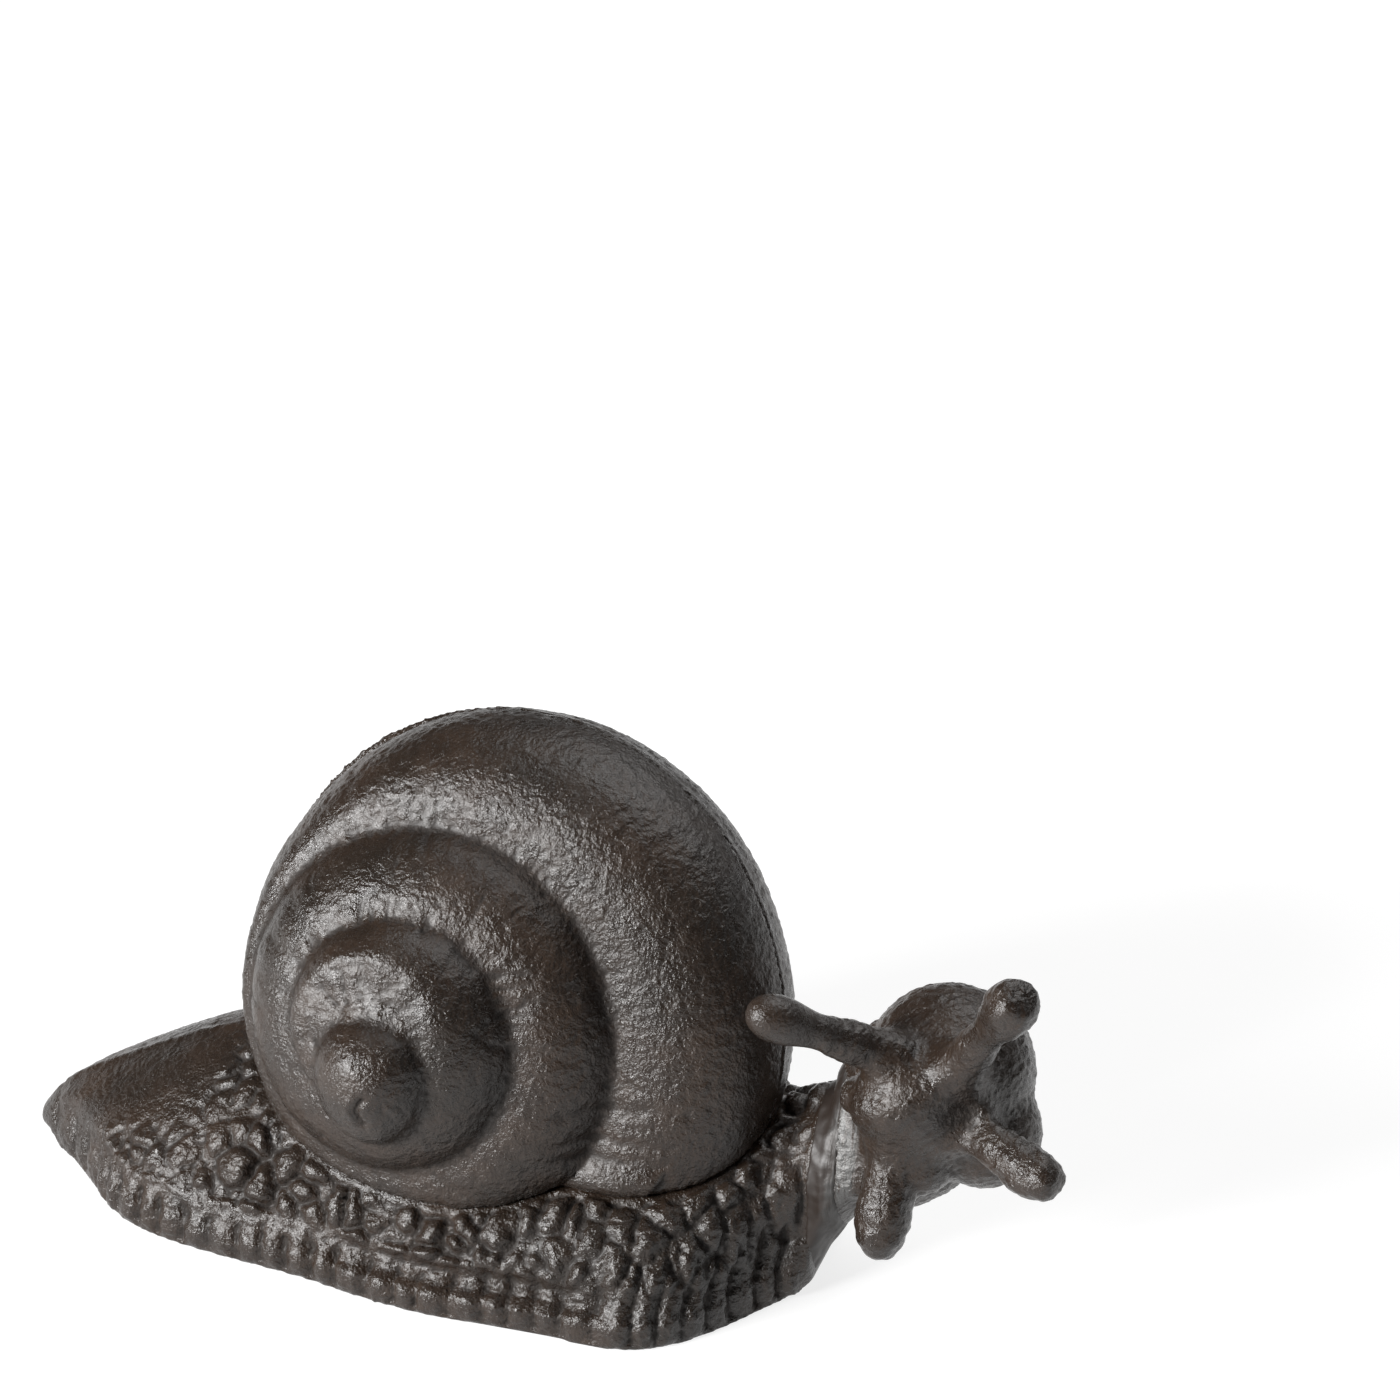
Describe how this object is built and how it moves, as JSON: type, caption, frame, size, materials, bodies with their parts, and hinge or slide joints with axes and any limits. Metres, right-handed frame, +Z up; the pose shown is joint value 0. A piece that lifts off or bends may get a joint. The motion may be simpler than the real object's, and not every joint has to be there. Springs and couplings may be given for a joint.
{
  "type": "snail figurine",
  "caption": "Free-standing cast-iron snail with a right-hand coiled shell, a ribbed foot hollow underneath, and a head turned to its right with stalked eyes.",
  "frame": {"origin": "on the ground under the middle of the whole outline", "axes": "+X along the body toward the head, +Y to the snail's left, +Z up; the sole rests on z = 0"},
  "size_m": [0.1674, 0.0714, 0.0781],
  "materials": {
    "brown_iron": "sand-cast iron with a dark brown waxed patina, semi-gloss",
    "ground_filler": "filler metal ground back, greyer and smoother than the castings",
    "fixing_steel": "plain turned steel"
  },
  "bodies": {
    "root": {"foot_casting": "brown_iron", "shell_right_half": "brown_iron", "shell_left_half": "brown_iron", "head_casting": "brown_iron", "neck_filler_ring": "ground_filler", "shell_screw_right": "fixing_steel", "shell_screw_left": "fixing_steel", "seam_pin_front": "fixing_steel", "seam_pin_rear": "fixing_steel"}
  },
  "joints": []
}
